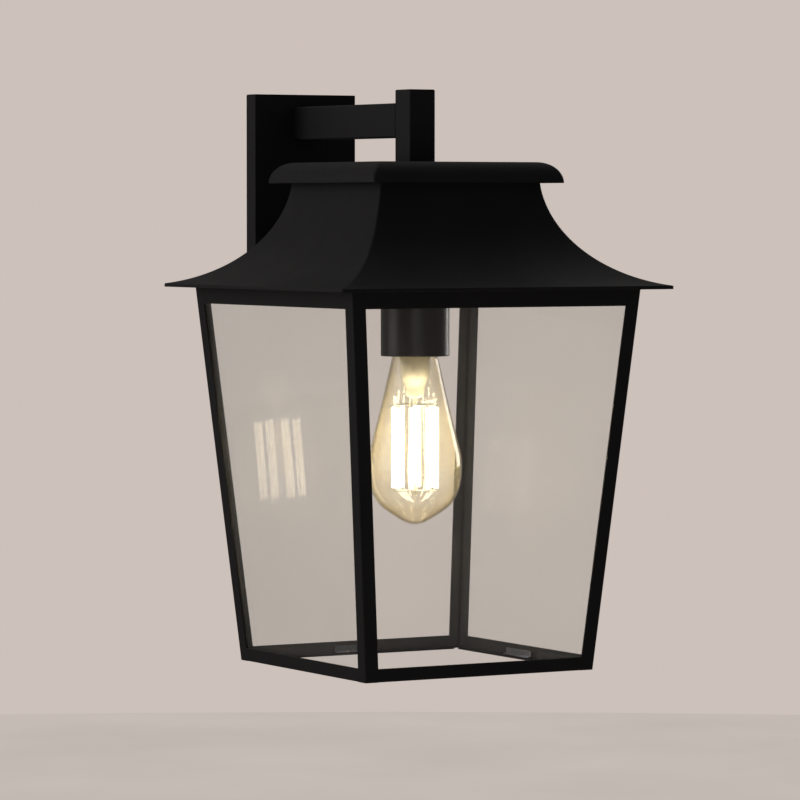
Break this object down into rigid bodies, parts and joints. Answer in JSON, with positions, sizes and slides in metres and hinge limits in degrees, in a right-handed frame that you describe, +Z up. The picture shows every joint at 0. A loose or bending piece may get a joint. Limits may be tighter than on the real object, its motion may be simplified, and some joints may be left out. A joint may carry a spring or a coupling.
{
  "type": "outdoor wall lantern",
  "caption": "Square tapering glazed lantern hung under a flared roof and cap from a straight wall arm with a rectangular plate and a screw-in lamp.",
  "frame": {"origin": "middle of the mounting bracket's back face, on the wall plane", "axes": "+Y into the wall, +Z up, so the lantern stands out along -Y"},
  "size_m": [0.2554, 0.2988, 0.3936],
  "materials": {
    "black_coat": "satin-matt black powder coat",
    "holder_coat": "matt dark bronze coat",
    "zinc_steel": "zinc-plated",
    "brass": "plain, slightly dulled",
    "clear_glass": "clear float glass",
    "amber_glass": "faintly amber blown glass",
    "porcelain": "glazed",
    "dark_insulator": "black glass-like insulator",
    "filament_phosphor": "lit phosphor coating",
    "wall_gasket_rubber": "closed-cell foam rubber",
    "white_plastic": "moulded, matt"
  },
  "bodies": {
    "lantern_body": {"wall_gasket": "wall_gasket_rubber", "cable_grommet": "wall_gasket_rubber", "mounting_bracket": "zinc_steel", "post_foot_plate": "zinc_steel", "threaded_stem": "zinc_steel", "post_nut": "zinc_steel", "roof_nut": "zinc_steel", "holder_bridge": "zinc_steel", "bridge_screw_left": "zinc_steel", "bridge_screw_right": "zinc_steel", "bridge_nut": "zinc_steel", "holder_nut": "zinc_steel", "glazing_clip_front": "zinc_steel", "glazing_clip_right": "zinc_steel", "glazing_clip_back": "zinc_steel", "glazing_clip_left": "zinc_steel", "wall_plate": "black_coat", "cover_screw_top": "black_coat", "cover_screw_bottom": "black_coat", "bracket_arm": "black_coat", "hanging_post": "black_coat", "cap_tray": "black_coat", "roof_shell": "black_coat", "top_rail_front": "black_coat", "top_rail_right": "black_coat", "top_rail_back": "black_coat", "top_rail_left": "black_coat", "corner_post_front_right": "black_coat", "corner_post_back_right": "black_coat", "corner_post_back_left": "black_coat", "corner_post_front_left": "black_coat", "bottom_rail_front": "black_coat", "bottom_rail_right": "black_coat", "bottom_rail_back": "black_coat", "bottom_rail_left": "black_coat", "terminal_block": "white_plastic", "inner_lead": "white_plastic", "lampholder_shell": "brass", "centre_contact": "brass", "glass_front": "clear_glass", "glass_right": "clear_glass", "glass_back": "clear_glass", "glass_left": "clear_glass", "lampholder_cup": "holder_coat", "lampholder_insert": "porcelain"},
    "lamp_carrier": {"bulb_insulator": "dark_insulator", "bulb_contact_tip": "zinc_steel"},
    "lamp": {"bulb_glass": "amber_glass", "bulb_cap_shell": "brass", "bulb_stem": "clear_glass", "filament_support_top": "zinc_steel", "filament_support_bottom": "zinc_steel", "filament_1": "filament_phosphor", "filament_2": "filament_phosphor", "filament_3": "filament_phosphor", "filament_4": "filament_phosphor", "filament_5": "filament_phosphor", "filament_6": "filament_phosphor", "filament_7": "filament_phosphor", "filament_8": "filament_phosphor"}
  },
  "joints": [
    {"name": "lamp_travel", "type": "slide", "parent": "lantern_body", "child": "lamp_carrier", "axis": [0, 0, -1], "range_m": [0, 0.0146]},
    {"name": "lamp_turn", "type": "hinge", "parent": "lamp_carrier", "child": "lamp", "pos_m": [0, -0.171, -0.19], "axis": [0, 0, -1], "range_deg": [0, 1440]}
  ],
  "couplings": [
    {"joint": "lamp_travel", "follows": "lamp_turn", "m_per_rad": 0.0005776}
  ]
}
